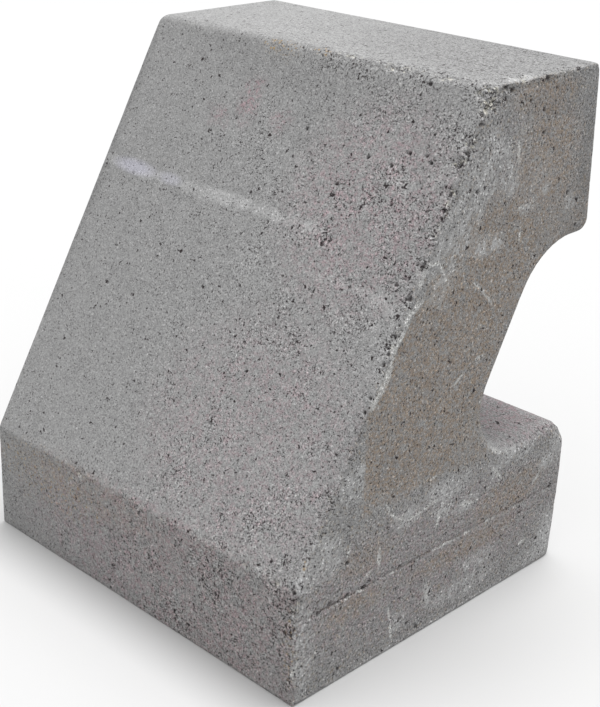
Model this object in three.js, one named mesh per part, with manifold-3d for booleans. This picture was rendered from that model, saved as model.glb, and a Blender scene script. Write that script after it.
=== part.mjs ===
// A small kerb stone of dense concrete, pressed on end and cast as one block: an upright front face with
// a battered face above it, a flat top, a nose that overhangs the back, a neck and a foot.
// Millimetres, +Z up. X runs along the kerb, the front looks towards -Y and the bed lies in the plane
// z = 0. The origin is the middle of the bed's bounding rectangle.

import * as THREE from "three";
import { mergeVertices } from "three/addons/utils/BufferGeometryUtils.js";
import Module from "manifold-3d";

// Overall
const LENGTH = 200; // one stone along the kerb
const HEIGHT = 236; // bed to top

// Front of the section
const FRONT_FACE_HEIGHT = 51.5; // upright face above the bed
const BATTER_ANGLE = 29; // degrees that the battered face leans back from upright

// Top and nose
const TOP_WIDTH = 75; // from the batter's arris to the back
const NOSE_HEIGHT = 75.5; // top to the underside of the overhang
const NOSE_BACK_DRAFT = 2.5; // the nose's back stands this much further out at its lower edge

// Neck, parallel to the batter
const NECK_THICKNESS = 73.5; // square to the batter

// Foot
const FOOT_HEIGHT = 70.5; // bed to the foot's upper face
const FOOT_DEPTH = 178.5; // front face to the foot's back
const CREASE_HEIGHT = 44; // where the foot's back starts to draw in
const HEEL_HEIGHT = 24; // where it turns nearly upright again
const HEEL_SETBACK = 1.2; // drawn in at the heel
const BED_SETBACK = 4.5; // drawn in at the bed

// Radii of the section's arrises and of the two hollows behind the neck
const TOP_FRONT_RADIUS = 5.5;
const TOP_BACK_RADIUS = 5;
const NOSE_LOWER_RADIUS = 6.5;
const THROAT_RADIUS = 38;
const FOOT_HOLLOW_RADIUS = 25;
const SHOULDER_RADIUS = 13.5;

// How far each side of the section is rounded over to the end faces. The top is alone in having a sharper
// arris at the seamed end, +X, than at the plain end.
const FRONT_EASE = 1;
const BATTER_EASE = 1.5;
const PLAIN_TOP_EASE = 5;
const SEAMED_TOP_EASE = 1.2;
const NOSE_EASE = 5;
const NECK_EASE = 3;
const FOOT_EASE = 6;
const BED_EASE = 0.5;

// Seam left across one end face by a joint in the mould
const SEAM_FRONT_HEIGHT = 42; // above the bed, at the front face
const SEAM_BACK_HEIGHT = 37.5; // above the bed, at the foot's back
const SEAM_WIDTH = 1.4;
const SEAM_DEPTH = 0.7;

// Fineness of the curves
const ARC_STEP = 7.5; // degrees a facet of a section radius
const EASE_STEPS = 5; // bands over each end arris
const LEAST_RADIUS = 0.4; // a radius that the easing uses up stays this large

const radians = THREE.MathUtils.degToRad;

// Depths in the section, from the foot of the front face: the battered face and the neck's back, at a height.
const batterAt = (height) => (height - FRONT_FACE_HEIGHT) * Math.tan(radians(BATTER_ANGLE));
const neckAt = (height) => batterAt(height) + NECK_THICKNESS / Math.cos(radians(BATTER_ANGLE));

// The section's corners, anticlockwise as seen from +X. Each is the point where its two straight sides
// would meet, the radius between them, and the easing of the side that starts there.
function sectionCorners(topEase) {
  const corner = (depth, height, radius, ease) => ({ point: new THREE.Vector2(depth, height), radius, ease });
  const throat = HEIGHT - NOSE_HEIGHT;
  const noseBack = batterAt(HEIGHT) + TOP_WIDTH;
  return [
    corner(0, 0, 0, BED_EASE),
    corner(FOOT_DEPTH - BED_SETBACK, 0, 0, FOOT_EASE),
    corner(FOOT_DEPTH - HEEL_SETBACK, HEEL_HEIGHT, 0, FOOT_EASE),
    corner(FOOT_DEPTH, CREASE_HEIGHT, 0, FOOT_EASE),
    corner(FOOT_DEPTH, FOOT_HEIGHT, SHOULDER_RADIUS, FOOT_EASE),
    corner(neckAt(FOOT_HEIGHT), FOOT_HEIGHT, FOOT_HOLLOW_RADIUS, NECK_EASE),
    corner(neckAt(throat), throat, THROAT_RADIUS, NOSE_EASE),
    corner(noseBack + NOSE_BACK_DRAFT, throat, NOSE_LOWER_RADIUS, NOSE_EASE),
    corner(noseBack, HEIGHT, TOP_BACK_RADIUS, topEase),
    corner(batterAt(HEIGHT), HEIGHT, TOP_FRONT_RADIUS, BATTER_EASE),
    corner(0, FRONT_FACE_HEIGHT, 0, FRONT_EASE),
  ];
}

// The angle that the outline turns through at a corner, negative where it is hollow.
function turnAt(before, corner, after) {
  const along = corner.clone().sub(before);
  const onward = after.clone().sub(corner);
  return Math.atan2(along.cross(onward), along.dot(onward));
}

// Where two sides meet once each is moved inwards by its own inset.
function insetPoint(before, corner, after, insetBefore, insetAfter) {
  const along = corner.clone().sub(before).normalize();
  const onward = after.clone().sub(corner).normalize();
  const turn = along.cross(onward);
  const onBefore = new THREE.Vector2(-along.y, along.x).multiplyScalar(insetBefore);
  const onAfter = new THREE.Vector2(-onward.y, onward.x).multiplyScalar(insetAfter);
  const slide = onAfter.sub(onBefore).cross(onward) / turn;
  return corner.clone().add(onBefore).addScaledVector(along, slide);
}

// The points of one rounded corner: an arc that touches both sides, or the bare point if it has no radius.
function roundedCorner(before, corner, after, radius, facets) {
  if (radius === 0) return [corner];
  const along = corner.clone().sub(before).normalize();
  const turn = turnAt(before, corner, after);
  const start = corner.clone().addScaledVector(along, -radius * Math.tan(Math.abs(turn) / 2));
  const inward = new THREE.Vector2(-along.y, along.x).multiplyScalar(Math.sign(turn) * radius);
  const centre = start.clone().add(inward);
  const from = inward.negate().angle();
  const arc = new THREE.EllipseCurve(centre.x, centre.y, radius, radius, from, from + turn, turn < 0);
  return arc.getPoints(facets);
}

// One ring of the block's skin: the section drawn in by a share of the easing, with each point held back
// from the end face by another share of it. End is +1 or -1.
function easedRing(corners, end, easeAngle) {
  const drawnIn = 1 - Math.cos(easeAngle);
  const heldBack = 1 - Math.sin(easeAngle);
  const previous = (list, i) => list.at(i - 1);
  const next = (list, i) => list[(i + 1) % list.length];
  const points = corners.map(({ point, ease }, i) => {
    const before = previous(corners, i);
    return insetPoint(before.point, point, next(corners, i).point, before.ease * drawnIn, ease * drawnIn);
  });
  return corners.flatMap(({ point, radius, ease }, i) => {
    const before = previous(corners, i);
    const turn = turnAt(before.point, point, next(corners, i).point);
    const change = -Math.sign(turn) * ((before.ease + ease) / 2) * drawnIn;
    const eased = radius === 0 ? 0 : Math.max(radius + change, LEAST_RADIUS);
    const facets = Math.ceil(Math.abs(turn) / radians(ARC_STEP));
    const arc = roundedCorner(previous(points, i), points[i], next(points, i), eased, facets);
    return arc.map((onArc, step) => {
      const share = arc.length === 1 ? 0.5 : step / facets;
      const gap = THREE.MathUtils.lerp(before.ease, ease, share) * heldBack;
      return new THREE.Vector3(end * (LENGTH / 2 - gap), onArc.x, onArc.y);
    });
  });
}

// A ring as an outline in the plane of an end face.
const outlineOf = (ring) => ring.map(({ y, z }) => new THREE.Vector2(y, z));

// The block's skin: rings that come out of one end's easing, run the length and go over the other end's
// easing, closed by the two flat end faces.
function blockGeometry() {
  const plainEnd = sectionCorners(PLAIN_TOP_EASE);
  const seamedEnd = sectionCorners(SEAMED_TOP_EASE);
  const easeAngles = Array.from({ length: EASE_STEPS + 1 }, (_, i) => (i / EASE_STEPS) * (Math.PI / 2));
  const rings = [
    ...easeAngles.toReversed().map((angle) => easedRing(plainEnd, -1, angle)),
    ...easeAngles.map((angle) => easedRing(seamedEnd, 1, angle)),
  ];
  const size = rings[0].length;
  const index = [];
  for (let ring = 0; ring + 1 < rings.length; ring += 1) {
    for (let i = 0; i < size; i += 1) {
      const a = ring * size + i;
      const b = ring * size + ((i + 1) % size);
      index.push(a, b, b + size, a, b + size, a + size);
    }
  }
  const lastRing = (rings.length - 1) * size;
  for (const [a, b, c] of THREE.ShapeUtils.triangulateShape(outlineOf(rings[0]), [])) index.push(a, c, b);
  for (const [a, b, c] of THREE.ShapeUtils.triangulateShape(outlineOf(rings.at(-1)), [])) {
    index.push(lastRing + a, lastRing + b, lastRing + c);
  }
  return new THREE.BufferGeometry().setFromPoints(rings.flat()).setIndex(index);
}

// The bar that cuts the seam: a lozenge half sunk in the +X end face, that runs from front to back and
// past both.
function seamCutter() {
  const lozenge = new THREE.Shape([
    new THREE.Vector2(LENGTH / 2 - SEAM_DEPTH, 0),
    new THREE.Vector2(LENGTH / 2, -SEAM_WIDTH / 2),
    new THREE.Vector2(LENGTH / 2 + SEAM_DEPTH, 0),
    new THREE.Vector2(LENGTH / 2, SEAM_WIDTH / 2),
  ]);
  const barLength = 2 * FOOT_DEPTH;
  const fall = Math.atan2(SEAM_FRONT_HEIGHT - SEAM_BACK_HEIGHT, FOOT_DEPTH);
  const bar = new THREE.ExtrudeGeometry(lozenge, { depth: barLength, bevelEnabled: false });
  bar.translate(0, 0, -barLength / 2);
  bar.rotateX(Math.PI / 2 - fall);
  return bar.translate(0, FOOT_DEPTH / 2, (SEAM_FRONT_HEIGHT + SEAM_BACK_HEIGHT) / 2);
}

const wasm = await Module();
wasm.setup();

// A closed geometry as a solid that can be cut.
function solidOf(geometry) {
  const bare = new THREE.BufferGeometry().setAttribute("position", geometry.getAttribute("position"));
  const merged = mergeVertices(bare.setIndex(geometry.getIndex()));
  return new wasm.Manifold(
    new wasm.Mesh({
      numProp: 3,
      vertProperties: merged.getAttribute("position").array,
      triVerts: new Uint32Array(merged.getIndex().array),
    }),
  );
}

function geometryOf(solid) {
  const mesh = solid.getMesh();
  const geometry = new THREE.BufferGeometry();
  geometry.setAttribute("position", new THREE.BufferAttribute(mesh.vertProperties, mesh.numProp));
  geometry.setIndex(new THREE.BufferAttribute(mesh.triVerts, 1));
  geometry.computeVertexNormals();
  return geometry;
}

const concrete = new THREE.MeshStandardMaterial({ color: 0x9b9692, roughness: 0.95, metalness: 0 });

const cast = solidOf(blockGeometry()).subtract(solidOf(seamCutter()));
const kerbBlock = new THREE.Mesh(geometryOf(cast), concrete);
kerbBlock.name = "kerb_block";
const bounds = new THREE.Box3().setFromObject(kerbBlock);
kerbBlock.position.y = -(bounds.min.y + bounds.max.y) / 2;

const kerbStone = new THREE.Group();
kerbStone.add(kerbBlock);

export default kerbStone;
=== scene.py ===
import itertools
import math
from typing import NamedTuple

import bpy
import numpy as np
from mathutils import Euler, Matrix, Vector


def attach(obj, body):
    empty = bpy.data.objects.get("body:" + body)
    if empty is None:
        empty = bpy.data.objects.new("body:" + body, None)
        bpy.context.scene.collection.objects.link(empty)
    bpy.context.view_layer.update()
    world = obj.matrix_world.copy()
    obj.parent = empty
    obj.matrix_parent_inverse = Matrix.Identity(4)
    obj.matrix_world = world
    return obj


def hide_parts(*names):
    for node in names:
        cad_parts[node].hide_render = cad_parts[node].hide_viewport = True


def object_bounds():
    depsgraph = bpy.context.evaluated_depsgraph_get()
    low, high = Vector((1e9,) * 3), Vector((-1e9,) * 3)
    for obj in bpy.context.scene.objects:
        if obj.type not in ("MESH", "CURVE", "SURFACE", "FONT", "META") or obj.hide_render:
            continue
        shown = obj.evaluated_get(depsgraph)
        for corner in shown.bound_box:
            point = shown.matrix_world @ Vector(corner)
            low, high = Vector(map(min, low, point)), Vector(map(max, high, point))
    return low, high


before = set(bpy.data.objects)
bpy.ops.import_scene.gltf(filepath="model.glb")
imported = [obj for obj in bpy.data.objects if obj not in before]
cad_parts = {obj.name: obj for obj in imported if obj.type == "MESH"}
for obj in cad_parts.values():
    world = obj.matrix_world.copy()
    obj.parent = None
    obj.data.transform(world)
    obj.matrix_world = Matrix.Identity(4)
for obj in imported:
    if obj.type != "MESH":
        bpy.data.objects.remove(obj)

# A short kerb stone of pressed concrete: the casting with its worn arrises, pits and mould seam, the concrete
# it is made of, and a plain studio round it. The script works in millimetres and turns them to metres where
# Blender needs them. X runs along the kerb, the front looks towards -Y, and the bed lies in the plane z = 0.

MM = 0.001
cad_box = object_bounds()
LOW, HIGH = (np.array(corner) / MM for corner in cad_box)

# The section's front: the battered face starts at this height and leans back from upright by this angle.
BATTER_FOOT = 51.5
BATTER_ANGLE = math.radians(29)
BATTER_RISE = math.pi / 2 - BATTER_ANGLE  # its slope above level

# Fineness of the casting's mesh
VOXEL = 0.6
MOST_TRIANGLES = 195_000

# Soft-edged marks on the surface
MARK_DEPTH = 4.0  # half size of most marks square to the surface
STROKE_DEPTH = 3.0  # the same for strokes
MARK_EDGE = 0.6  # share of a mark's half size over which it fades in


class Mark(NamedTuple):
    """A soft-edged patch of the surface: its middle, its half sizes along the kerb, along its own line and
    square to both, how far that line leans up from level, and how strong the mark is."""

    middle: tuple
    half: tuple
    lean: float
    strength: float = 1.0


def batter_mark(x, up, half_x, half_up, strength=1.0, deep=MARK_DEPTH):
    """A mark on the battered face, at x along the kerb and a distance up the slope."""
    middle = (x, LOW[1] + up * math.cos(BATTER_RISE), BATTER_FOOT + up * math.sin(BATTER_RISE))
    return Mark(middle, (half_x, half_up, deep), BATTER_RISE, strength)


def front_mark(x, z, half_x, half_z, strength=1.0, deep=MARK_DEPTH):
    """A mark on the upright front face."""
    return Mark((x, LOW[1], z), (half_x, deep, half_z), 0, strength)


def top_mark(x, y, half_x, half_y, strength=1.0, deep=MARK_DEPTH):
    """A mark on the flat top."""
    return Mark((x, y, HIGH[2]), (half_x, half_y, deep), 0, strength)


def end_mark(y, z, half_long, half_wide, lean_degrees=0.0, strength=1.0, deep=MARK_DEPTH):
    """A mark on the seamed end face."""
    return Mark((HIGH[0], y, z), (deep, half_long, half_wide), math.radians(lean_degrees), strength)


def end_stroke(width, strength, *route):
    """A stroke over the seamed end face along a few (y, z) points: one mark for each stretch of it."""
    for (y0, z0), (y1, z1) in itertools.pairwise(route):
        half_long = (math.hypot(y1 - y0, z1 - z0) + width) / 2
        lean = math.degrees(math.atan2(z1 - z0, y1 - y0))
        middle = ((y0 + y1) / 2, (z0 + z1) / 2)
        yield end_mark(*middle, half_long, width / 2, lean, strength, STROKE_DEPTH)


# ---------------------------------------------------------------------------------------------------------
# Marks of the mould, the stacking yard and wear
# ---------------------------------------------------------------------------------------------------------

# Hollows where the mix stayed open
HOLLOWS = (
    batter_mark(47, 134, 5, 6),
    batter_mark(71, 168, 10, 9, 0.45),
    batter_mark(88, 128, 9, 10, 0.6),
    batter_mark(78, 214, 22, 4, 0.7),
    batter_mark(101, 203, 4, 3.5),
    batter_mark(101, 195, 3.5, 3.5),
    batter_mark(99.5, 188, 3.5, 3),
    batter_mark(100, 182, 3, 3),
    batter_mark(97.5, 177, 4, 3.5),
    batter_mark(100, 166, 3, 4),
    batter_mark(99.5, 158, 3, 5),
    batter_mark(99, 147, 3.5, 4),
    batter_mark(99, 137, 3, 4),
    batter_mark(98, 122, 3, 5, 0.9),
    batter_mark(97.5, 104, 3, 5, 0.9),
    batter_mark(97.5, 92, 3, 4, 0.9),
    batter_mark(96, 40, 5, 6, 0.55),
    batter_mark(98, 14, 4, 6, 0.8),
    batter_mark(98, 4, 4, 4, 0.9),
    front_mark(98, 36, 3, 14, 0.9),
    front_mark(98, 14, 3, 8, 0.8),
    front_mark(-36, 49, 3.5, 3, 0.55),
    front_mark(5, 48, 3, 4, 0.6),
    front_mark(10.5, 46, 3, 3.5, 0.55),
    front_mark(21, 47, 3.5, 3.5, 0.55),
    end_mark(-80, 38.4, 9, 2.6, 0, 0.35),
    end_mark(-66, 38.6, 7, 2.6, 0, 0.45),
    end_mark(-50, 38.6, 4, 2.0, 0, 0.9),
    end_mark(-39, 38.6, 3, 1.8, 0, 0.8),
    end_mark(-28.4, 38.9, 3.4, 2.0, 0, 0.9),
    end_mark(12, 230, 14, 6, 0, 0.7),
    end_mark(47.5, 235, 4, 2.4, 0, 0.5),
)

# Single pits, each with its width: along the worn end of the batter and apart from it, then on the end face
PITS = (
    *(
        batter_mark(x, up, width / 2, width / 2)
        for x, up, width in (
            (98.2, 1, 3), (99, 199.5, 3.4), (98.5, 203, 3), (98.5, 195, 3.2), (98.5, 183, 3.6),
            (97, 177.5, 4.4), (98.5, 166, 3.6), (98.5, 159, 3.2), (98.5, 155.5, 3), (98.5, 135.3, 4),
            (98.5, 122.3, 3.6), (98, 112, 3), (98.5, 107, 3), (98.5, 99.5, 2.6), (98.5, 95, 2.6),
            (98.5, 81.5, 2.6), (98.5, 75.5, 2.4), (42.5, 157, 3.4), (49.5, 134, 3.8), (15.6, 175.8, 2.6),
            (53, 171, 2.8), (72.7, 177, 2.8), (74, 181.6, 2.6), (84, 175.3, 3), (66, 170.5, 2.4),
            (69, 206.3, 3), (80.8, 178, 2.6),
        )
    ),
    *(
        end_mark(y, z, width / 2, width / 2)
        for y, z, width in (
            (-60.9, 54.3, 3.2), (-50.4, 51, 2.4), (-61, 71.7, 2.6), (-27, 12.6, 3.2), (-21.4, 8.4, 2.6),
            (-15, 3.8, 2.6), (-77, 37.6, 3), (-70.3, 38.8, 3.4), (-64.8, 38.8, 3.4), (-60, 38.4, 4),
            (-50, 38.8, 3.6), (-40.5, 38.6, 3), (-28.6, 39, 3.8), (-77.3, 17.5, 2.4), (-63.7, 6, 2.4),
            (47.5, 211.3, 3.2), (6.2, 194.7, 3.6), (69, 182.4, 2.8), (47.3, 234.5, 4.4), (57.4, 235, 3.4),
            (68.8, 235, 3.2), (46.5, 221.5, 2.8), (37, 226.6, 3), (54.2, 230, 2.6), (21.5, 234.5, 3.4),
            (24.6, 232.7, 3.4), (-17, 142.4, 2.6), (-12.6, 138.7, 2.6), (62.3, 38.8, 2.8), (78, 38.3, 3),
            (42.9, 7.4, 2.6), (41.9, 25.7, 2.6), (52, 55, 2.4), (23.4, 59.8, 2.4), (12.9, 228.5, 3.4),
            (9.5, 227, 3),
        )
    ),
)

# Where an arris crumbled: the strength is the depth lost, in mm
CRUMBLED = (
    batter_mark(101, 206, 12, 11, 2.2, 9),
    batter_mark(99, 187, 6, 7, 1.2, 6),
    batter_mark(98, 177, 6, 6, 1.3, 6),
    batter_mark(99, 165, 6, 6, 1.2, 6),
    batter_mark(99, 152, 5, 6, 1.1, 5),
    batter_mark(99, 138, 5, 7, 0.9, 5),
    batter_mark(100, 105, 4, 30, 0.6, 5),
    batter_mark(100, 40, 5, 40, 0.8, 6),
    batter_mark(45, 211, 62, 5, 0.9, 5),
    *(front_mark(x, 51, 5, 3, 0.9, 3) for x in (-36, -8, 6, 21, 49, 70, 88)),
    end_mark(16, 233, 16, 6, 0, 1.5, 6),
    end_mark(40, 235, 22, 5, 0, 0.8, 6),
    end_mark(-89, 45, 5, 8, 0, 1.0, 5),
    end_mark(-89, 22, 4, 20, 0, 0.6, 4),
    top_mark(97, 34, 6, 9, 1.3, 5),
    top_mark(99, 60, 4, 16, 0.8, 5),
    top_mark(100, 88, 5, 6, 2.6, 6),
    end_mark(84, 66, 7, 7, 0, 1.2, 8),
    end_mark(87, 27, 4, 5, 0, 1.2, 6),
)

# Clumps of pores on the batter, apart from those that spread over its seamed half
CLUMPS = (
    batter_mark(-57, 141, 5, 4, 0.8),
    batter_mark(-80, 130, 5, 4, 0.7),
    batter_mark(-72, 125, 5, 4, 0.8),
    batter_mark(-9, 132, 9, 4, 0.8),
    batter_mark(-28, 125, 8, 5, 0.8),
    batter_mark(-50, 113, 8, 5, 0.5),
    batter_mark(-6, 158, 6, 7, 0.8),
    batter_mark(2, 148, 6, 6, 0.7),
    batter_mark(47, 158, 6, 6, 1.0),
    batter_mark(48, 134, 6, 10, 1.0),
    batter_mark(71, 168, 16, 14, 0.6),
    batter_mark(57, 130, 7, 6, 0.8),
    batter_mark(32, 134, 5, 4, 0.8),
    batter_mark(30, 206, 50, 7, 0.7),
    batter_mark(94, 40, 10, 46, 0.55),
    batter_mark(92, 180, 9, 40, 0.5),
    batter_mark(95.5, 128, 4, 42, 0.9),
    batter_mark(89, 126, 9, 10, 0.9),
    top_mark(75, 50, 60, 60, 0.5),
)

# Laitance drawn off along two lines of the batter. The far end of the first has a cold bloom of lime.
SMEARS = (
    batter_mark(-93, 137.5, 9, 3.2, 0.5),
    batter_mark(-80, 137.4, 14, 3.6, 0.8),
    batter_mark(-70, 137.0, 11, 4.0, 0.95),
    batter_mark(-54, 137.3, 12, 3.4, 0.55),
    batter_mark(-38, 137.0, 10, 3.4, 0.6),
    batter_mark(-26, 136.7, 12, 3.8, 0.7),
    batter_mark(-15, 136.8, 10, 4.2, 0.85),
    batter_mark(-3, 136.8, 8, 4.0, 0.75),
    batter_mark(8, 136.7, 8, 3.4, 0.65),
    batter_mark(16, 136.8, 8, 4.0, 0.85),
    batter_mark(29, 137.2, 7, 3.4, 0.5),
    batter_mark(38, 137.0, 7, 3.6, 0.6),
    batter_mark(58, 118.5, 22, 2.4, 0.25),
    batter_mark(76, 118.8, 8, 3.2, 0.5),
    batter_mark(84, 118.0, 8, 4.0, 0.45),
    batter_mark(93, 115.5, 6, 4.0, 0.45),
    batter_mark(87, 107.5, 5, 3.0, 0.3),
    batter_mark(93, 187, 3, 3, 0.5),
    batter_mark(91, 171, 2, 6, 0.5),
    end_mark(80, 14, 12, 15, 0, 0.95),
    end_mark(82, 57, 9, 8, 0, 0.6),
    batter_mark(76, 164, 8, 6, 0.35),
)
BLOOM = (batter_mark(-77, 137.5, 18, 4.5), batter_mark(-52, 137.3, 10, 3.5, 0.6))

# Dirt and painted shade along the seam's groove, which runs level at this height
SEAM_HEIGHT = 38.4
SEAM = tuple(end_stroke(1.8, 0.7, *((y, SEAM_HEIGHT) for y in (-89.8, -40, 20, 88))))

# Paler skin of the end face, where it was rubbed in the stack; painted light along its bottom edge; and pale
# crumbs with a painted highlight on the top by the seamed end
RUBBED_AND_LIT = (
    end_mark(17, 209, 10, 13, 61, 0.5),
    end_mark(11, 198, 9, 12, 61, 0.52),
    end_mark(26, 197, 8, 12, 40, 0.5),
    end_mark(-2, 175, 9, 8, 40, 0.5),
    end_mark(16, 170, 15, 6, -10, 0.5),
    end_mark(-14, 154, 6, 9, 61, 0.15),
    end_mark(54, 187, 4, 4, 0, 0.4),
    end_mark(71, 177, 6, 5, 0, 0.4),
    end_mark(41, 181, 9, 3, 10, 0.4),
    end_mark(2, 65, 20, 7, 0, 0.75),
    end_mark(-2, 56, 9, 7, 0, 0.65),
    end_mark(-24, 61, 12, 6, 0, 0.5),
    end_mark(14, 53, 12, 5, 0, 0.45),
    end_mark(46, 66, 24, 6, 0, 0.5),
    end_mark(35, 60, 8, 5, 60, 0.35),
    end_mark(73, 53, 8, 5, 0, 0.5),
    end_mark(80, 61, 8, 6, 0, 0.35),
    end_mark(78, 13, 9, 13, 0, 0.85),
    end_mark(26, 20, 16, 6, 0, 0.5),
    end_mark(16, 11, 30, 7, 0, 0.42),
    end_mark(-27, 12, 9, 7, 0, 0.35),
    end_mark(-9, 17, 4, 8, 0, 0.5),
    end_mark(-87, 17, 4, 9, 20, 0.7),
    end_mark(-74, 62, 12, 16, 61, 0.55),
    end_mark(-84, 56, 8, 8, 0, 0.6),
    end_mark(-62, 88, 8, 14, 61, 0.4),
    end_mark(-1, 186, 46, 17, 61, 0.36),
    end_mark(30, 205, 26, 16, 61, 0.12),
    end_mark(46, 192, 18, 16, 61, 0.12),
    end_mark(-85, 25, 30, 8, 90, 0.4),
    # painted light along the end face's bottom edge, against the shade of its eased arris
    end_mark(0, 0.5, 100, 2.5, 0, 0.55),
    end_mark(70, 5, 26, 7, 0, 0.4),
    # pale crumbs with a painted highlight, on the top by its seamed end
    top_mark(96.5, 33, 4.5, 12, 0.9),
    end_mark(-56, 94, 5, 4, 0, 0.5),
)

# Scuffs and scratches on the end face, the pale lip along the edge of its smooth panel, and the fins of
# cement along its seam
SCRATCHES = (
    *end_stroke(3.0, 0.9, (-21.2, 170.4), (-24.7, 165.4), (-26.4, 161.7)),
    *end_stroke(4.8, 1.0, (-23.9, 155.6), (-28.6, 153.4), (-31.9, 151.5)),
    *end_stroke(4.0, 1.1, (-31.9, 151.5), (-33.4, 146), (-38.0, 141.6)),
    *end_stroke(4.2, 1.05, (-38.0, 141.6), (-39.0, 137.6), (-41.2, 131)),
    *end_stroke(5.6, 1.25, (-40.8, 132), (-42.2, 128.5), (-47.0, 122.1)),
    *end_stroke(4.6, 1.2, (-47.0, 122.5), (-50.5, 118.0)),
    *end_stroke(2.0, 1.2, (-21.3, 170.7), (-14.1, 169.5), (-11.6, 164.7)),
    *end_stroke(1.5, 0.9, (-11.9, 162.3), (-7.7, 160.9)),
    *end_stroke(1.7, 1.3, (8.1, 156.0), (12.2, 153.2), (17.7, 147.9), (22.1, 143.1)),
    *end_stroke(1.8, 1.2, (12.6, 120.5), (19.7, 121.4)),
    *end_stroke(1.7, 1.4, (0.4, 112.9), (5.4, 117.0)),
    *end_stroke(1.6, 0.8, (18.4, 99.3), (19.9, 101.2)),
    *end_stroke(1.7, 1.1, (37.7, 173.6), (37.0, 166.3)),
    *end_stroke(2.4, 0.8, (39.5, 182.2), (33.8, 181.1)),
    *end_stroke(2.4, 0.7, (30.9, 212), (32.2, 201.1)),
    *end_stroke(2.2, 0.8, (-38.5, 71.8), (-36.4, 67.1), (-31.4, 62.9), (-27.1, 60.8)),
    *end_stroke(1.9, 1.2, (-25.8, 59.6), (-15.6, 60.9), (-5.1, 62.4)),
    *end_stroke(2.2, 0.9, (-3.8, 56), (-5.7, 47.9)),
    *end_stroke(3.0, 0.8, (8.5, 54.6), (19.2, 51.4)),
    *end_stroke(1.7, 1.0, (-11.2, 73.5), (-7.5, 74.1)),
    *end_stroke(2.6, 1.1, (63.3, 45.3), (68.0, 48.5)),
    *end_stroke(3.4, 0.8, (28.5, 75.2), (38.5, 68.4)),
    *end_stroke(3.0, 0.8, (31.1, 65.0), (39.1, 55.5)),
    *end_stroke(2.4, 1.3, (56.5, 15.5), (61.2, 16.6)),
    *end_stroke(3.0, 1.0, (-41.3, 54.4), (-41.7, 42.9)),
    *end_stroke(2.0, 0.8, (-45.9, 44.6), (-51.5, 42.1)),
    *end_stroke(1.6, 0.8, (-58.9, 63.2), (-61.3, 55.9)),
    *end_stroke(3.0, 1.0, (-8.9, 21.6), (-8.8, 13.4)),
    *end_stroke(1.7, 1.1, (-34.3, 22.7), (-32.5, 14.4), (-30.5, 3.0)),
    *end_stroke(3.0, 1.0, (-87.3, 20.3), (-90.8, 12.6)),
    *end_stroke(2.4, 1.0, (-77.9, 20.4), (-76.5, 20.4)),
    *end_stroke(1.8, 1.3, (-61.5, 37.8), (-57.5, 38.2)),
    *end_stroke(1.7, 1.1, (-54.6, 38.1), (-51.2, 37.5)),
    *end_stroke(1.6, 1.1, (-34.3, 37.9), (-30.1, 37.9)),
    *end_stroke(1.6, 1.3, (-7.9, 38.2), (7.5, 37.9)),
    *end_stroke(1.5, 1.1, (14.5, 37.6), (18.5, 37.6)),
    *end_stroke(1.5, 1.1, (28.2, 38.0), (37.1, 38.1)),
    *end_stroke(1.5, 1.0, (49.0, 37.9), (51.5, 37.8)),
)

# Where the sand is rosy, where the skin is browner, and where ochre has stained it
ROSY = (
    batter_mark(-36, 172, 9, 5, 0.6),
    batter_mark(0, 176, 8, 8, 0.5),
    batter_mark(-22, 181, 9, 15, 0.8),
    batter_mark(62, 150, 56, 60, 0.5),
    batter_mark(50, 45, 80, 70, 0.36),
    end_mark(40, 205, 50, 40, 0, 0.12),
    Mark((0, 66, 70), (150, 50, 8), 0, 0.75),
    front_mark(30, 26, 140, 60, 0.5),
    end_mark(-10, 36, 130, 40, 0, 0.35),
)

BROWN = (
    front_mark(-30, 44, 70, 14, 0.3),
    front_mark(60, 26, 80, 60, 0.1),
    end_mark(45, 46, 34, 12, 8, 0.8),
    end_mark(15, 31, 50, 7, 0, 0.7),
    end_mark(-55, 32, 26, 8, 0, 0.6),
    end_mark(52, 200, 30, 34, 0, 0.9),
    end_mark(48, 228, 30, 10, 0, 0.8),
    end_mark(25, 178, 26, 14, 0, 0.9),
    end_mark(-50, 52, 22, 9, 0, 0.5),
)

OCHRE = (
    batter_mark(-16, 208, 14, 5, 1.0, 6),
    batter_mark(8, 210, 8, 3, 0.8, 6),
    batter_mark(98.6, 12.4, 3, 4, 1.0),
    front_mark(98, 24, 6, 26, 0.6),
    front_mark(-60, 38, 60, 20, 0.5),
)

# Darker patches, partly dirt that has settled and partly painted shade, most plainly the painted shade on the
# foot's top under the nose: the strength is the share of light lost
DIRT_AND_PAINTED_SHADE = (
    top_mark(80, 66, 130, 74, 0.16, 6),
    top_mark(50, 94, 120, 28, 0.2, 6),
    # painted shade on the foot's top, under the overhang of the nose
    Mark((0, 62, 70), (160, 60, 12), 0, 0.25),
    batter_mark(20, 203, 120, 22, 0.09),
    batter_mark(90, 170, 24, 60, 0.06),
    batter_mark(20, 178, 30, 14, 0.05),
    end_mark(62, 224, 40, 12, 0, 0.08),
    end_mark(82, 200, 10, 50, 0, 0.14),
    front_mark(94, 30, 14, 50, 0.06),
    batter_mark(-101, 140, 9, 100, 0.18),
    top_mark(HIGH[0], 60, 8, 60, 0.16),
    end_mark(74, 172, 14, 14, 0, 0.08),
    batter_mark(98, 40, 7, 60, 0.08),
)


# ---------------------------------------------------------------------------------------------------------
# The casting
# ---------------------------------------------------------------------------------------------------------

LATTICE = 96  # random values a side, before they repeat


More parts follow.
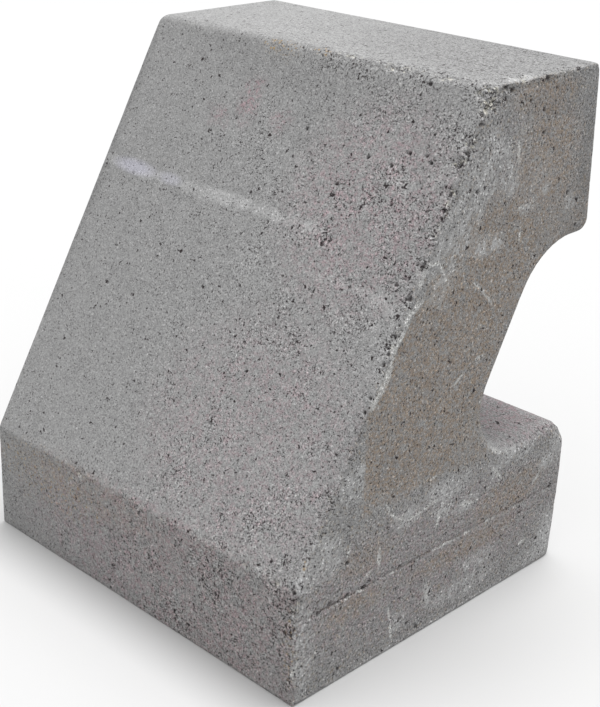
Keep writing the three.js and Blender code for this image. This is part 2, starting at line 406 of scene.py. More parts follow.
def wandering(points, grain, seed):
    """Smooth values from -1 to 1 that change over about one grain, in mm."""
    lattice = np.random.default_rng(seed).uniform(-1, 1, (LATTICE,) * 3)
    cell = points / grain
    base = np.floor(cell).astype(int)
    along = cell - base
    along = along * along * (3 - 2 * along)
    total = np.zeros(len(points))
    for corner in itertools.product((0, 1), repeat=3):
        share = np.where(corner, along, 1 - along).prod(axis=1)
        total += share * lattice[tuple(((base + corner) % LATTICE).T)]
    return total


def layered(points, layers, base=0.0):
    """Wandering values laid over one another on a base. A layer is its share, its grain and its seed."""
    return sum((share * wandering(points, grain, seed) for share, grain, seed in layers), base)


def step_up(values, start, end):
    """0 below start, 1 above end and a smooth rise between."""
    t = np.clip((values - start) / (end - start), 0, 1)
    return t * t * (3 - 2 * t)


def cover(points, marks):
    """How strongly the marks lie on each point: the strongest one counts."""
    strongest = np.zeros(len(points))
    for mark in marks:
        x, y, z = (points - mark.middle).T
        along = y * math.cos(mark.lean) + z * math.sin(mark.lean)
        across = z * math.cos(mark.lean) - y * math.sin(mark.lean)
        reach = np.sqrt(sum((d / half) ** 2 for d, half in zip((x, along, across), mark.half)))
        strongest = np.maximum(strongest, mark.strength * step_up(1 - reach, 0, MARK_EDGE))
    return strongest


def vertices_of(mesh, name="co"):
    """The place of every vertex, or its normal."""
    found = np.empty(len(mesh.vertices) * 3)
    mesh.vertices.foreach_get(name, found)
    return found.reshape(-1, 3)


def with_modifier(piece, kind, **settings):
    """The mesh that the piece would have with one more modifier."""
    modifier = piece.modifiers.new(kind.title(), kind)
    for name, value in settings.items():
        setattr(modifier, name, value)
    evaluated = piece.evaluated_get(bpy.context.evaluated_depsgraph_get())
    mesh = bpy.data.meshes.new_from_object(evaluated)
    piece.modifiers.remove(modifier)
    return mesh


def beneath_batter(points):
    """How deep each point lies under the plane of the battered face."""
    _, y, z = points.T
    return (y - LOW[1]) * math.sin(BATTER_RISE) - (z - BATTER_FOOT) * math.cos(BATTER_RISE)


# How open the surface is, from 0 to 1
OPENS_OUT = (-105, 88)  # it opens out between these places along the kerb
OPEN_FAR = 0.315  # before them
OPEN_NEAR = 0.165  # added after them
OPEN_CLUMP = 0.33  # added there within clumps
OPEN_CLUMPS = ((1, 13, 3), (0.5, 5, 8))
CLUMP_RISE = (-0.3, 0.8)  # wandering values between which a clump rises
OPEN_ON_FRONT = 0.06  # added on the front
OPEN_ON_NEAR_FRONT = 0.08  # and again at its seamed end
SHUT_ON_TOP = 0.02  # taken away on the trowelled top
SHUT_IN_TOP_CLUMP = 0.2  # and again within its clumps
OPEN_ON_END = 0.42
FACING_FRONT = (0.9, 0.99)  # parts of the normal between which a surface comes to count as the front
FACING_UP = (0.7, 0.95)  # and as the top


def openness(points, normals, on_end):
    """How open the surface is: least on the trowelled top and most on the front, and more towards the seamed
    end, in clumps. The end face itself was pressed shut."""
    near = step_up(points[:, 0], *OPENS_OUT)
    clumps = step_up(layered(points, OPEN_CLUMPS), *CLUMP_RISE)
    on_front = step_up(-normals[:, 1], *FACING_FRONT)
    on_top = step_up(normals[:, 2], *FACING_UP)
    loose = OPEN_FAR + near * (OPEN_NEAR + OPEN_CLUMP * clumps)
    loose += (OPEN_ON_FRONT + OPEN_ON_NEAR_FRONT * near) * on_front
    loose -= (SHUT_ON_TOP + SHUT_IN_TOP_CLUMP * near * clumps) * on_top
    return np.where(on_end, OPEN_ON_END, loose)


# The panel of the end face that keeps its smooth skin
PANEL_SINK = 0.35
PANEL_FRONT = (-54, -51.5)  # its front edge is upright
PANEL_START = 118  # up to this height the panel reaches the batter's arris
PANEL_SLANT = 0.13  # and above it the edge draws in by this share of the height gained
PANEL_SOFTENS = ((150, 190), (1.5, 11))  # between these heights that edge turns from sharp to soft
PANEL_WANDERS = ((140, 190), (0, 0.8))  # and between these it starts to wander
PANEL_WOBBLE = ((2.5, 9, 31), (1.0, 3, 32))
PANEL_MARGIN = 0.3  # width of the arris that it leaves free
PANEL_FOOT = (70, 76)  # between these heights it sets in
PANEL_TOP = 205
PANEL_TOP_FADE = 40  # it fades over this height below its top
PANEL_TOP_WOBBLE = 4  # times what the other edges wobble
PANEL_BACK = (58, 72)  # between these depths under the batter it fades to half


def neck_panel(points, on_end):
    """Where the smooth panel lies: on the neck and up into the nose."""
    depth = beneath_batter(points)
    _, y, z = points.T
    wobble = layered(points, PANEL_WOBBLE)
    softness = np.interp(z, *PANEL_SOFTENS)
    inwards = depth - PANEL_SLANT * (z - PANEL_START) + wobble * np.interp(z, *PANEL_WANDERS)
    panel = on_end * step_up(y, *PANEL_FRONT) * step_up((inwards - PANEL_MARGIN) / softness, 0, 1)
    from_top = PANEL_TOP - z + PANEL_TOP_WOBBLE * wobble
    panel *= step_up(z + wobble, *PANEL_FOOT) * step_up(from_top, 0, PANEL_TOP_FADE)
    return panel * (1 - 0.5 * step_up(depth + wobble, *PANEL_BACK))


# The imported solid's seam falls from front to back. This stone's runs level.
DRAWN_SEAM = (42, 37.5)  # height at the front and at the back
SEAM_SLIDE_REACH = 12  # how far above and below the seam its surroundings slide with it
SEAM_SLIDE_FADE = 9  # and over how much of that they slide less and less
SEAM_SLIDE_INLAND = (15, 2)  # how far from the end face the slide starts, and is full


def seam_slide(points):
    """How far up each point slides within its face to level the seam."""
    x, y, z = points.T
    drawn = np.interp(y, (LOW[1], HIGH[1]), DRAWN_SEAM)
    share = step_up(SEAM_SLIDE_REACH - np.abs(z - drawn), 0, SEAM_SLIDE_FADE)
    share *= step_up(x, *(HIGH[0] - inland for inland in SEAM_SLIDE_INLAND))
    return (SEAM_HEIGHT - drawn) * share


# Cavities open where ragged noise rises over an edge, which comes down as a hollow or a pit grows stronger.
# The noise stays under 1, so an edge of 1.1 keeps the skin shut.
CAVITY_DEPTH = 0.7
PIT_DEPTH = 1.1
RAGGED = ((0.6, 1.2, 12), (0.4, 1.9, 13))
HOLLOW_EDGE = ((0, 0.4, 1), (1.1, 0.5, 0.12))  # strengths of a hollow, and the edge at each
PIT_EDGE = ((0, 0.3, 1), (1.1, 0.25, -0.3))  # the same for a pit
CAVITY_WALL = 0.2  # noise between a cavity's lip and its floor


def cavities(points, hollow):
    """How deep the open texture goes at each point: ragged hollows of 1 to 2 mm where the mix stayed open,
    and deeper single pits."""
    single = cover(points, PITS)
    edge = np.minimum(np.interp(hollow, *HOLLOW_EDGE), np.interp(single, *PIT_EDGE))
    depth = np.interp(single, (0, 1), (CAVITY_DEPTH, PIT_DEPTH))
    return depth * step_up(layered(points, RAGGED) - edge, 0, CAVITY_WALL)


BREAK_MEAN = 0.5  # share of a crumbled place's depth that is lost on average
BREAK_ROUGHNESS = ((0.3, 4.5, 21), (0.4, 2.0, 22), (0.5, 1.3, 23))
BREAK_MOST = 1.2  # and at most
ARRIS_CRUMB = 0.3  # depth of the crumbs lost along every arris
CRUMBLES = (0, 100)  # those crumbs set in between these places along the kerb


def crumbled(points, arris):
    """How much has broken off at each point: most at the crumbled places, a little along every arris near the
    seamed end. The broken surface is as rough as the sand in it."""
    rough = layered(points, BREAK_ROUGHNESS, BREAK_MEAN)
    near = step_up(points[:, 0], *CRUMBLES)
    crumbs = ARRIS_CRUMB * arris * near * np.clip(wandering(points, 2.4, seed=24), 0, 1)
    return cover(points, CRUMBLED) * np.clip(rough, 0, BREAK_MOST) + crumbs


FACING = 0.9  # a normal this far along an axis makes the surface face that way
END_SKIN = 1.5  # the end face's skin reaches this far into the stone, which takes in the seam
WEAR = 0.3  # greatest share of the rounding that an arris takes from wear
WEAR_PATCHES = ((1, 9, 5), (0.5, 3, 6))
WEAR_RISE = (-0.2, 1.2)  # wandering values between which a worn patch rises
ROUNDING = {"factor": 0.5, "iterations": 24}  # of the smoothing that shows where the arrises are
ARRIS_ROUNDING = (0.1, 0.5)  # rounding that shows where an arris begins, and where it is full
UNEVEN = ((0.05, 30, 1), (0.04, 7, 2))  # depth, grain and seed of each swell of the faces
GRAINY = 0.06  # depth of the sandy texture towards the seamed end
TURNS_GRAINY = (-20, 100)  # it sets in between these places along the kerb
PANEL_SHUTS = 0.3  # share of the openness that the smooth panel lacks
HOLLOW_OPENS = 0.4  # openness that a hollow adds
PALE_SKIN_BUILD = 0.1  # rubbed skin, and the painted light along the end face's bottom edge, stand this much proud of the rest
PALE_SKIN_SHOWS = 1.7  # times its marks' strength
ROSY_LEAST = 0.01  # on all of the surface
OCHRE_ON_END = 0.2  # on all of the end face
OCHRE_ON_FRONT = 0.05  # on all of the front
OCHRE_ELSEWHERE = 0.02


def weathered(points, normals, rounded):
    """The skin after the mould and the yard: where its points end up, and what the concrete is like at each.
    Rounded is where the points would lie with every arris smoothed away."""
    bed = normals[:, 2] < -FACING
    on_front = normals[:, 1] < -FACING
    on_end = points[:, 0] > HIGH[0] - END_SKIN
    near = step_up(points[:, 0], *TURNS_GRAINY)

    wear = rounded - points
    wear[np.einsum("ij,ij->i", wear, normals) > 0] = 0
    points[:, 2] += seam_slide(points)
    arris = step_up(np.linalg.norm(wear, axis=1), *ARRIS_ROUNDING)
    share = step_up(layered(points, WEAR_PATCHES), *WEAR_RISE)
    points += wear * (WEAR * share)[:, None]

    crumble = crumbled(points, arris)
    uneven = sum(depth * (1 + wandering(points, grain, seed)) for depth, grain, seed in UNEVEN)
    grainy = GRAINY * near * (1 + wandering(points, 1.6, seed=4))
    panel = neck_panel(points, on_end)
    hollow = cover(points, HOLLOWS)
    open_here = openness(points, normals, on_end) * (1 - PANEL_SHUTS * panel) + HOLLOW_OPENS * hollow
    pit = cavities(points, hollow)
    rubbed_and_lit = cover(points, RUBBED_AND_LIT)
    sink = uneven + grainy + pit + crumble + PANEL_SINK * panel - PALE_SKIN_BUILD * rubbed_and_lit
    sink = np.where(bed, 0, np.clip(sink, 0, None))
    points -= normals * sink[:, None]
    points = np.clip(points, LOW, HIGH)

    ochre_haze = np.select([on_end, on_front], [OCHRE_ON_END, OCHRE_ON_FRONT], OCHRE_ELSEWHERE)
    fields = {
        "open": np.clip(open_here, 0, 1),
        "pit": pit / PIT_DEPTH,
        "worn": arris * np.clip(share + crumble, 0, 1),
        "broken": np.clip(crumble, 0, 1),
        "rubbed_and_lit": PALE_SKIN_SHOWS * rubbed_and_lit,
        "brown": np.maximum(panel, cover(points, BROWN)),
        "rosy": np.maximum(cover(points, ROSY), ROSY_LEAST),
        "ochre": np.maximum(cover(points, OCHRE), ochre_haze),
        "dirt_and_shade": cover(points, DIRT_AND_PAINTED_SHADE),
    }
    return points, fields


def casting():
    """The kerb stone as it left the mould and the yard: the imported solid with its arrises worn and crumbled,
    its faces a little uneven, and ragged hollows and pits where the mix was loose."""
    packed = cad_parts["kerb_block"]
    piece = bpy.data.objects.new("kerb_casting", packed.data.copy())
    bpy.context.scene.collection.objects.link(piece)
    piece.data = with_modifier(piece, "REMESH", mode="VOXEL", voxel_size=VOXEL * MM)
    points = vertices_of(piece.data) / MM
    normals = vertices_of(piece.data, "normal")
    rounded = vertices_of(with_modifier(piece, "SMOOTH", **ROUNDING)) / MM

    points, fields = weathered(points, normals, rounded)
    piece.data.vertices.foreach_set("co", (points * MM).ravel())
    for name, values in fields.items():
        piece.data.attributes.new(name, "FLOAT", "POINT").data.foreach_set("value", values)

    triangles = sum(len(face.vertices) - 2 for face in piece.data.polygons)
    piece.data = with_modifier(piece, "DECIMATE", ratio=min(1, MOST_TRIANGLES / triangles))
    inside = np.clip(vertices_of(piece.data) / MM, LOW, HIGH)
    piece.data.vertices.foreach_set("co", (inside * MM).ravel())
    piece.data.name = piece.name
    piece.data.shade_smooth()
    piece.data.materials.clear()
    piece.data.materials.append(pressed_concrete())
    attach(piece, "root")
    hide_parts("kerb_block")
    return piece


# ---------------------------------------------------------------------------------------------------------
# The concrete
# ---------------------------------------------------------------------------------------------------------


def linear(hex_colour):
    """An sRGB colour such as 0x9b9692 as linear red, green and blue with full alpha."""
    channels = ((hex_colour >> shift & 255) / 255 for shift in (16, 8, 0))
    return (*(c / 12.92 if c <= 0.04045 else ((c + 0.055) / 1.055) ** 2.4 for c in channels), 1)


def add(tree, kind, feeds=None, **settings):
    """Adds a node, sets it up and feeds its sockets with values or with other nodes' first outputs."""
    node = tree.nodes.new(kind)
    for name, value in settings.items():
        setattr(node, name, value)
    for socket, value in (feeds or {}).items():
        if isinstance(value, bpy.types.Node):
            value = value.outputs[0]
        if isinstance(value, bpy.types.NodeSocket):
            tree.links.new(value, node.inputs[socket])
        else:
            node.inputs[socket].default_value = value
    return node


ATTRIBUTE = "ShaderNodeAttribute"
MATH = "ShaderNodeMath"
VECTOR_MATH = "ShaderNodeVectorMath"
RANGE = "ShaderNodeMapRange"
NOISE = "ShaderNodeTexNoise"
MIX = "ShaderNodeMix"
MIX_FACTOR, MIX_A, MIX_B, MIX_RESULT = 0, 6, 7, 2  # a colour Mix node's sockets


class Pattern(NamedTuple):
    """Cloudy patches of about one size in mm: the noise values where a patch starts and is full, which slice
    of the noise it takes, and how strong it is outside the patches and within them."""

    size: float
    start: float
    full: float
    slice: float
    outside: float = 0.0
    within: float = 1.0


CEMENT = 0xA2A2A2  # most of the surface
ROSY_CEMENT = 0xAB989C  # sand that warms the seamed half
BROWN_SKIN = 0xA2968B  # the smooth panel and patches near the seam
PALE_OVERLAY = 0xC6C6C6  # drawn-off laitance, rubbed skin, and painted light on the end face's bottom edge
FRESH_SCRATCH = 0xDCDCDA
LIME_BLOOM = 0xC4C3D2
CREAM_CRUMB = 0xC9C6BC  # grains laid bare where an arris crumbled
OCHRE_STAIN = 0xB3986C
PORE_SHADOW = 0x2C2325
# dirt with painted shade, for the seam's groove
SEAM_SHADE_AND_DIRT = 0x564A42

# The shade of the cement. The finest sand is drawn coarser than it is so that it shows, and its contrast is
# the spread of its grains' shades.
SAND_GRAIN = 0.45
SAND_CONTRAST = 0.55  # on the closest skin
OPEN_CONTRAST = 3.2  # added where the mix is open
END_CONTRAST = 0.25  # added on the end faces, which the mould scored
BROKEN_CONTRAST = 1.0  # added where an arris crumbled
FILM_HIDES = 0.6  # share of the contrast that a full film of pale cement hides
CLOUD_SIZE = 9
CLOUD = 0.07  # how far the shade strays in clouds of that size
END_PAINTED_SHADE = 0.09  # painted shade: share of light taken off the end faces, so that they come out darker

# Pale grains, where the pores' noise is low
PALE_EDGE = 0.40  # the noise value below which one shows
PALE_FULL = 0.36  # and below which it is as pale as it gets
PALE_SPECK = 0.15  # how much paler than the cement, on the closest skin
PALE_SPECK_OPEN = 0.85  # added where the mix is open
PALE_SPECK_END = 0.75  # added on the end faces

# Tints of the cement, each stronger on some grains than on the next
TINTED_GRAIN = 0.9
TINT_SPREAD = (0.3, 0.8, 0.25, 1.75)  # from these random values to these strengths
ROSY_HAZE = Pattern(4.0, 0.40, 0.58, 4.0)
BROWN_HAZE = Pattern(4.0, 0.36, 0.56, 4.0)
OCHRE_HAZE = Pattern(1.5, 0.52, 0.63, 1.5)

# Pale cement on the surface. A bend is the size of the wander that it gives an edge, and its reach, in mm.
SMEAR_BEND = (6.0, 1.6)
SMEAR_MOTTLE = Pattern(2.2, 0.34, 0.56, 4.0, 0.55)
WISP_BEND = (4.0, 2.0)
WISPS = Pattern(2.2, 0.49, 0.55, 7.0, 0.35, 1.5)
WISP_LENGTH = 2.4  # wisps are drawn out this many times along the batter's slope
WORN_PATCHES = Pattern(3.0, 0.45, 0.6, 2.0)
WORN_PALENESS = 0.6
BLOOM_STRENGTH = 0.6
SCRATCH_BEND = (2.5, 1.0)
SCRATCH_BREAKS = Pattern(1.6, 0.40, 0.52, 9.0, 0.45, 0.95)
CRUMB = 1.3
CRUMB_SPREAD = (0.65, 0.8, 0.0, 0.9)  # from these random values to these strengths
CRUMBS_FROM, CRUMBS_FULL = 0.35, 0.9  # depths of breakage between which the crumbs come out

SEAM_BEND = (2.0, 0.8)
SEAM_BREAKS = Pattern(2.5, 0.42, 0.56, 5.0)

# Pores, where their noise is high
PORE_GRAIN = 1.05  # mm from pore to pore at their closest
PORE_EDGE = 0.652  # the noise value above which the closest skin has a pore
PORE_OPEN = 0.08  # taken off that value where the mix is open
PORE_CLUMPED = 0.045  # and within clumps of pores
PORE_BROKEN = 0.02  # and where an arris crumbled
PORE_END = 0.02  # and on the end faces
PORE_CLUMPS = Pattern(5.0, 0.46, 0.60, 0.0)
PORE_SHARPNESS = 70  # how steeply a pore darkens inside its edge
PORE_RIM = 0.04  # how far below that value the lighter rim of a pore reaches
RIM_SHINE = 0.15
LARGE_PORE = 3.0  # mm from one large pore to the next
LARGE_PORE_EDGE = 0.68  # the value above which the closest skin has one
LARGE_PORE_OPEN = 0.035  # taken off it where the mix is open
PORE_DARKNESS = 0.97
PIT_DARKNESS = 0.88  # the pits are hollows in the mesh too, and shade themselves

ROUGHNESS = 0.93  # matt all over
BUMP_DEPTH = 0.3
BUMP_STRENGTH = 0.5
SAND_BUMP = 0.5  # share of that depth that the sand stands out by
PORE_BUMP = 0.6  # and that the pores sink by


def reckon(tree, operation, *values, clamp=False):
    """The outcome of a sum."""
    return add(tree, MATH, dict(enumerate(values)), operation=operation, use_clamp=clamp)


def times(tree, first, second, clamp=False):
    return reckon(tree, "MULTIPLY", first, second, clamp=clamp)


def raised(tree, base, amount, value, clamp=False):
    """The base with the amount added to it as often as the value says."""
    return reckon(tree, "MULTIPLY_ADD", value, amount, base, clamp=clamp)


def rescaled(tree, value, start, end, low=0.0, high=1.0):
    """What goes from low to high while the value goes from start to end."""
    feeds = {"Value": value, "From Min": start, "From Max": end, "To Min": low, "To Max": high}
    return add(tree, RANGE, feeds)


def blend(tree, factor, under, over, blend_type="MIX"):
    """One colour laid over another."""
    feeds = {MIX_FACTOR: factor, MIX_A: under, MIX_B: over}
    return add(tree, MIX, feeds, data_type="RGBA", blend_type=blend_type).outputs[MIX_RESULT]


def field(tree, name):
    """One of the values that the casting's mesh carries."""
    return add(tree, ATTRIBUTE, attribute_name=name).outputs["Fac"]


def grains(tree, mm, size):
    """Grains of about one size, each with three random values of its own."""
    cells = add(tree, "ShaderNodeTexVoronoi", {"Vector": mm, "Scale": 1 / size})
    return add(tree, "ShaderNodeSeparateColor", {0: cells.outputs["Color"]}).outputs


def noise(tree, mm, size, detail, roughness):
    """Noise whose largest features are about one size."""
    return add(tree, NOISE, {"Vector": mm, "Scale": 1 / size, "Detail": detail, "Roughness": roughness})


def patches(tree, mm, pattern):
    """How strong a pattern is where the surface is seen."""
    feeds = {"Vector": mm, "W": pattern.slice, "Scale": 1 / pattern.size, "Detail": 4.0, "Roughness": 0.65}
    cloudy = add(tree, NOISE, feeds, noise_dimensions="4D")
    return rescaled(tree, cloudy, pattern.start, pattern.full, pattern.outside, pattern.within)


def lain_on(tree, mm, marks):
    """How strongly the marks lie where the surface is seen, so that thin ones stay crisp: the strongest one
    counts."""
    strongest = 0.0
    for mark in marks:
        spot = add(tree, "ShaderNodeTexGradient", {"Vector": mm}, gradient_type="SPHERICAL")
        spot.texture_mapping.vector_type = "TEXTURE"
        spot.texture_mapping.translation = mark.middle
        spot.texture_mapping.rotation = (mark.lean, 0, 0)
        spot.texture_mapping.scale = mark.half
        strength = rescaled(tree, spot.outputs["Fac"], 0.0, MARK_EDGE, 0.0, mark.strength)
        strongest = reckon(tree, "MAXIMUM", strength, strongest)
    return strongest


def bent(tree, mm, size, reach):
    """Places pushed about by up to some mm, so that what is drawn at them has a wandering edge."""
    push = add(tree, NOISE, {"Vector": mm, "Scale": 1 / size, "Detail": 3.0})
    push = add(tree, VECTOR_MATH, {0: push.outputs["Color"], 1: (0.5,) * 3}, operation="SUBTRACT")
    push = add(tree, VECTOR_MATH, {0: push, "Scale": 2 * reach}, operation="SCALE")
    return add(tree, VECTOR_MATH, {0: mm, 1: push}, operation="ADD")


class Skin(NamedTuple):
    """What several layers of the concrete are drawn from, as nodes or their sockets: the place in mm, how
    open and how broken the surface is, how squarely it faces an end, its sand, and the noise of its pores."""

    mm: object
    open_here: object
    broken: object
    facing_end: object
    sand: object
    ragged: object


def cement_colour(tree, mm):
    """Neutral grey cement, with rosy sand, a browner skin and ochre stains, each a little stronger on some
    grains than on the next."""
    colour = linear(CEMENT)
    tints = grains(tree, mm, TINTED_GRAIN)
    hazes = (
        ("rosy", ROSY_CEMENT, ROSY_HAZE),
        ("brown", BROWN_SKIN, BROWN_HAZE),
        ("ochre", OCHRE_STAIN, OCHRE_HAZE),
    )
    for tint, (name, over, pattern) in zip(tints, hazes):
        haze = times(tree, field(tree, name), patches(tree, mm, pattern))
        haze = times(tree, haze, rescaled(tree, tint, *TINT_SPREAD), clamp=True)
        colour = blend(tree, haze, colour, linear(over))
    return colour


def pale_cover(tree, mm):
    """Where pale cement lies on the surface: smears, rubbed skin broken up by wisps that lie along the
    batter's slope, and worn arrises; and painted light along the end face's bottom edge."""
    smear = lain_on(tree, bent(tree, mm, *SMEAR_BEND), SMEARS)
    smear = times(tree, smear, patches(tree, mm, SMEAR_MOTTLE))
    feeds = {
        "Vector": bent(tree, mm, *WISP_BEND),
        "Rotation": (BATTER_RISE, 0, 0),
        "Scale": (1, WISP_LENGTH, 1),
    }
    drawn_out = add(tree, "ShaderNodeMapping", feeds, vector_type="TEXTURE")
    rubbed_and_lit = times(tree, field(tree, "rubbed_and_lit"), patches(tree, drawn_out, WISPS))
    worn = times(tree, field(tree, "worn"), patches(tree, mm, WORN_PATCHES))
    rubbed_and_lit = reckon(tree, "MAXIMUM", rubbed_and_lit, times(tree, worn, WORN_PALENESS))
    return reckon(tree, "MAXIMUM", smear, rubbed_and_lit)


def scratched(tree, mm):
    """Where a scratch or a fin of cement shows, fading and coming back along its way."""
    scratch = lain_on(tree, bent(tree, mm, *SCRATCH_BEND), SCRATCHES)
    return times(tree, scratch, patches(tree, mm, SCRATCH_BREAKS), clamp=True)


def crumbs(tree, skin):
    """Where a cream grain was laid bare by breakage."""
    crumb = rescaled(tree, grains(tree, skin.mm, CRUMB)[0], *CRUMB_SPREAD)
    return times(tree, crumb, rescaled(tree, skin.broken, CRUMBS_FROM, CRUMBS_FULL))


def seam_darkening(tree, mm):
    """Where the seam holds dirt and painted shade, with gaps along its way."""
    seam = lain_on(tree, bent(tree, mm, *SEAM_BEND), SEAM)
    return times(tree, seam, patches(tree, mm, SEAM_BREAKS))


def sand_shade(tree, skin, pale_layer):
    """How light the cement is: sand of mixed shades, clouds, pale grains, dirt with painted shade, and painted
    shade on the end faces.
    """
    contrast = raised(tree, SAND_CONTRAST, OPEN_CONTRAST, skin.open_here)
    contrast = raised(tree, contrast, END_CONTRAST, skin.facing_end)
    contrast = raised(tree, contrast, BROKEN_CONTRAST, skin.broken)
    contrast = times(tree, contrast, raised(tree, 1.0, -FILM_HIDES, pale_layer, clamp=True))
    clouds = noise(tree, skin.mm, CLOUD_SIZE, 5.0, 0.7)
    clouds = rescaled(tree, clouds, 0.3, 0.7, 1 - CLOUD, 1 + CLOUD)
    spread = reckon(tree, "SUBTRACT", skin.sand, 0.5)
    spread = times(tree, reckon(tree, "ABSOLUTE", spread), spread)
    shade = raised(tree, clouds, contrast, spread)
    paler = raised(tree, PALE_SPECK, PALE_SPECK_OPEN, skin.open_here)
    paler = raised(tree, paler, PALE_SPECK_END, skin.facing_end)
    shade = raised(tree, shade, paler, rescaled(tree, skin.ragged, PALE_EDGE, PALE_FULL))
    # less light where dirt and painted shade lie
    undimmed = reckon(tree, "SUBTRACT", 1.0, field(tree, "dirt_and_shade"))
    # painted shade on the end faces
    undimmed = raised(tree, undimmed, -END_PAINTED_SHADE, skin.facing_end)
    return times(tree, shade, undimmed)


def pores(tree, skin):
    """How much light the rims of the pores catch, and how dark the pores and the pits are."""
    clump = times(tree, patches(tree, skin.mm, PORE_CLUMPS), skin.open_here)
    clump = reckon(tree, "MAXIMUM", clump, lain_on(tree, skin.mm, CLUMPS))
    edge = raised(tree, PORE_EDGE, -PORE_OPEN, skin.open_here)
    edge = raised(tree, edge, -PORE_CLUMPED, clump)
    edge = raised(tree, edge, -PORE_BROKEN, skin.broken)
    edge = raised(tree, edge, -PORE_END, skin.facing_end)
    past_edge = reckon(tree, "SUBTRACT", skin.ragged, edge)
    rim = rescaled(tree, past_edge, -PORE_RIM, 0.0, 0.0, RIM_SHINE)
    dark = times(tree, past_edge, PORE_SHARPNESS, clamp=True)
    edge = raised(tree, LARGE_PORE_EDGE, -LARGE_PORE_OPEN, skin.open_here)
    past_edge = reckon(tree, "SUBTRACT", noise(tree, skin.mm, LARGE_PORE, 3.0, 0.6), edge)
    dark = reckon(tree, "MAXIMUM", dark, times(tree, past_edge, PORE_SHARPNESS, clamp=True))
    dark = reckon(tree, "MAXIMUM", dark, times(tree, field(tree, "pit"), PIT_DARKNESS))
    return rim, times(tree, dark, PORE_DARKNESS)


def pressed_concrete():
    """Dense concrete, pressed into a steel mould: matt grey cement, sandy at arm's length, peppered with dark
    pores that crowd towards the seamed end, where pale scuffs and a browner skin show too."""
    material = bpy.data.materials.new("pressed_concrete")
    material.use_nodes = True
    tree = material.node_tree
    tree.nodes.clear()
    place = add(tree, "ShaderNodeTexCoord")
    mm = add(tree, VECTOR_MATH, {0: place.outputs["Object"], "Scale": 1 / MM}, operation="SCALE")
    along_kerb = reckon(tree, "ABSOLUTE", add(tree, "ShaderNodeSeparateXYZ", {0: place.outputs["Normal"]}))
    skin = Skin(
        mm=mm,
        open_here=field(tree, "open"),
        broken=field(tree, "broken"),
        facing_end=rescaled(tree, along_kerb, 0.55, 0.9),
        sand=grains(tree, mm, SAND_GRAIN)[0],
        ragged=noise(tree, mm, PORE_GRAIN, 4.0, 0.65),
    )
    pale_layer = pale_cover(tree, mm)
    rim, dark = pores(tree, skin)
    shade = reckon(tree, "ADD", sand_shade(tree, skin, pale_layer), rim)
    bloom = times(tree, lain_on(tree, mm, BLOOM), BLOOM_STRENGTH)

    # pale cement, rubbed skin, and painted light
    colour = blend(tree, pale_layer, cement_colour(tree, mm), linear(PALE_OVERLAY))
    colour = blend(tree, scratched(tree, mm), colour, linear(FRESH_SCRATCH))
    colour = blend(tree, bloom, colour, linear(LIME_BLOOM))
    colour = blend(tree, crumbs(tree, skin), colour, linear(CREAM_CRUMB))
    # dirt and painted shade along the seam
    colour = blend(tree, seam_darkening(tree, mm), colour, linear(SEAM_SHADE_AND_DIRT))
    colour = blend(tree, 1.0, colour, shade, "MULTIPLY")
    colour = blend(tree, dark, colour, linear(PORE_SHADOW))

    height = raised(tree, times(tree, skin.sand, SAND_BUMP), -PORE_BUMP, skin.ragged)
    feeds = {"Height": height, "Distance": BUMP_DEPTH * MM, "Strength": BUMP_STRENGTH}
    bump = add(tree, "ShaderNodeBump", feeds)
    feeds = {"Base Color": colour, "Roughness": ROUGHNESS, "Normal": bump}
    shader = add(tree, "ShaderNodeBsdfPrincipled", feeds)
    add(tree, "ShaderNodeOutputMaterial", {"Surface": shader})
    return material


# ---------------------------------------------------------------------------------------------------------
# The studio
# ---------------------------------------------------------------------------------------------------------

FLOOR_SIDE = 12_000
FLOOR_SEEN = 0xDCDCDC  # what the camera sees
FLOOR_LIT = 0xA0A0A0  # what lights the stone
SKY_STRENGTH = 0.72  # what lights the stone, where the camera sees plain white
LAMP_TILT = math.radians(15.5)  # towards the back, so that the batter takes a quarter of what the top does
LAMP_SPREAD = math.radians(40)
LAMP_STRENGTH = 2.25

# Where the camera stands and how it is turned. Its azimuth runs from the front round to the seamed end.
CAMERA_PLACE = (428.98, -429.32, 355.4)
CAMERA_AZIMUTH = math.radians(44.295)
CAMERA_ELEVATION = math.radians(21.043)
CAMERA_ROLL = math.radians(1.643)
CAMERA_LENS = 73.014
CAMERA_SHIFT_Y = -0.07567


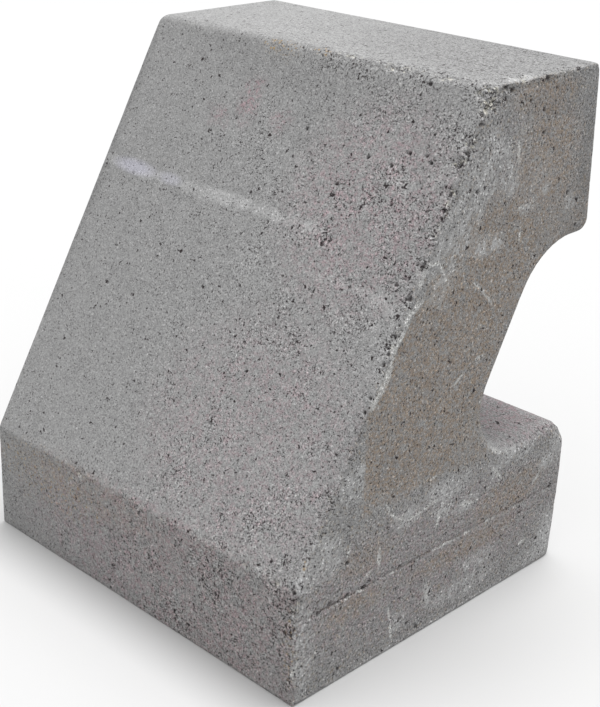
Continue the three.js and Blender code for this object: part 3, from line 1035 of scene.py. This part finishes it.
def studio_floor():
    """A pale matt floor. The camera sees it lighter than it lights the stone's faces."""
    half = FLOOR_SIDE * MM / 2
    mesh = bpy.data.meshes.new("studio_floor")
    corners = [(-half, -half, 0), (half, -half, 0), (half, half, 0), (-half, half, 0)]
    mesh.from_pydata(corners, [], [(0, 1, 2, 3)])
    floor = bpy.data.objects.new("studio_floor", mesh)
    bpy.context.scene.collection.objects.link(floor)
    material = bpy.data.materials.new("matt_floor_paint")
    material.use_nodes = True
    tree = material.node_tree
    tree.nodes.clear()
    ray = add(tree, "ShaderNodeLightPath")
    seen = add(tree, "ShaderNodeBsdfDiffuse", {"Color": linear(FLOOR_SEEN)})
    lit = add(tree, "ShaderNodeBsdfDiffuse", {"Color": linear(FLOOR_LIT)})
    mixed = add(tree, "ShaderNodeMixShader", {0: ray.outputs["Is Camera Ray"], 1: lit, 2: seen})
    add(tree, "ShaderNodeOutputMaterial", {"Surface": mixed})
    mesh.materials.append(material)


def studio_sky():
    """Even white light from all round, and a white background."""
    world = bpy.data.worlds.new("studio_sky")
    bpy.context.scene.world = world
    world.use_nodes = True
    tree = world.node_tree
    tree.nodes.clear()
    ray = add(tree, "ShaderNodeLightPath")
    strength = rescaled(tree, ray.outputs["Is Camera Ray"], 0.0, 1.0, SKY_STRENGTH, 1.0)
    sky = add(tree, "ShaderNodeBackground", {"Color": (1, 1, 1, 1), "Strength": strength})
    add(tree, "ShaderNodeOutputWorld", {"Surface": sky})


def soft_lamp():
    """One wide soft lamp high above the stone, a little behind it."""
    data = bpy.data.lights.new("soft_lamp", "SUN")
    data.angle = LAMP_SPREAD
    data.energy = LAMP_STRENGTH
    lamp = bpy.data.objects.new("soft_lamp", data)
    bpy.context.scene.collection.objects.link(lamp)
    lamp.rotation_euler = (-LAMP_TILT, 0, 0)


def camera():
    """A long lens from in front of the seamed end, above the stone's top."""
    data = bpy.data.cameras.new("camera")
    data.lens = CAMERA_LENS
    data.shift_y = CAMERA_SHIFT_Y
    seer = bpy.data.objects.new("camera", data)
    bpy.context.scene.collection.objects.link(seer)
    seer.location = Vector(CAMERA_PLACE) * MM
    turn = Euler((0, 0, CAMERA_AZIMUTH)).to_matrix()
    lean = Euler((math.pi / 2 - CAMERA_ELEVATION, 0, 0)).to_matrix()
    roll = Euler((0, 0, CAMERA_ROLL)).to_matrix()
    seer.rotation_euler = (turn @ lean @ roll).to_euler()
    bpy.context.scene.camera = seer


camera()
studio_sky()
studio_floor()
soft_lamp()
casting()
bpy.context.scene.view_settings.view_transform = "Standard"
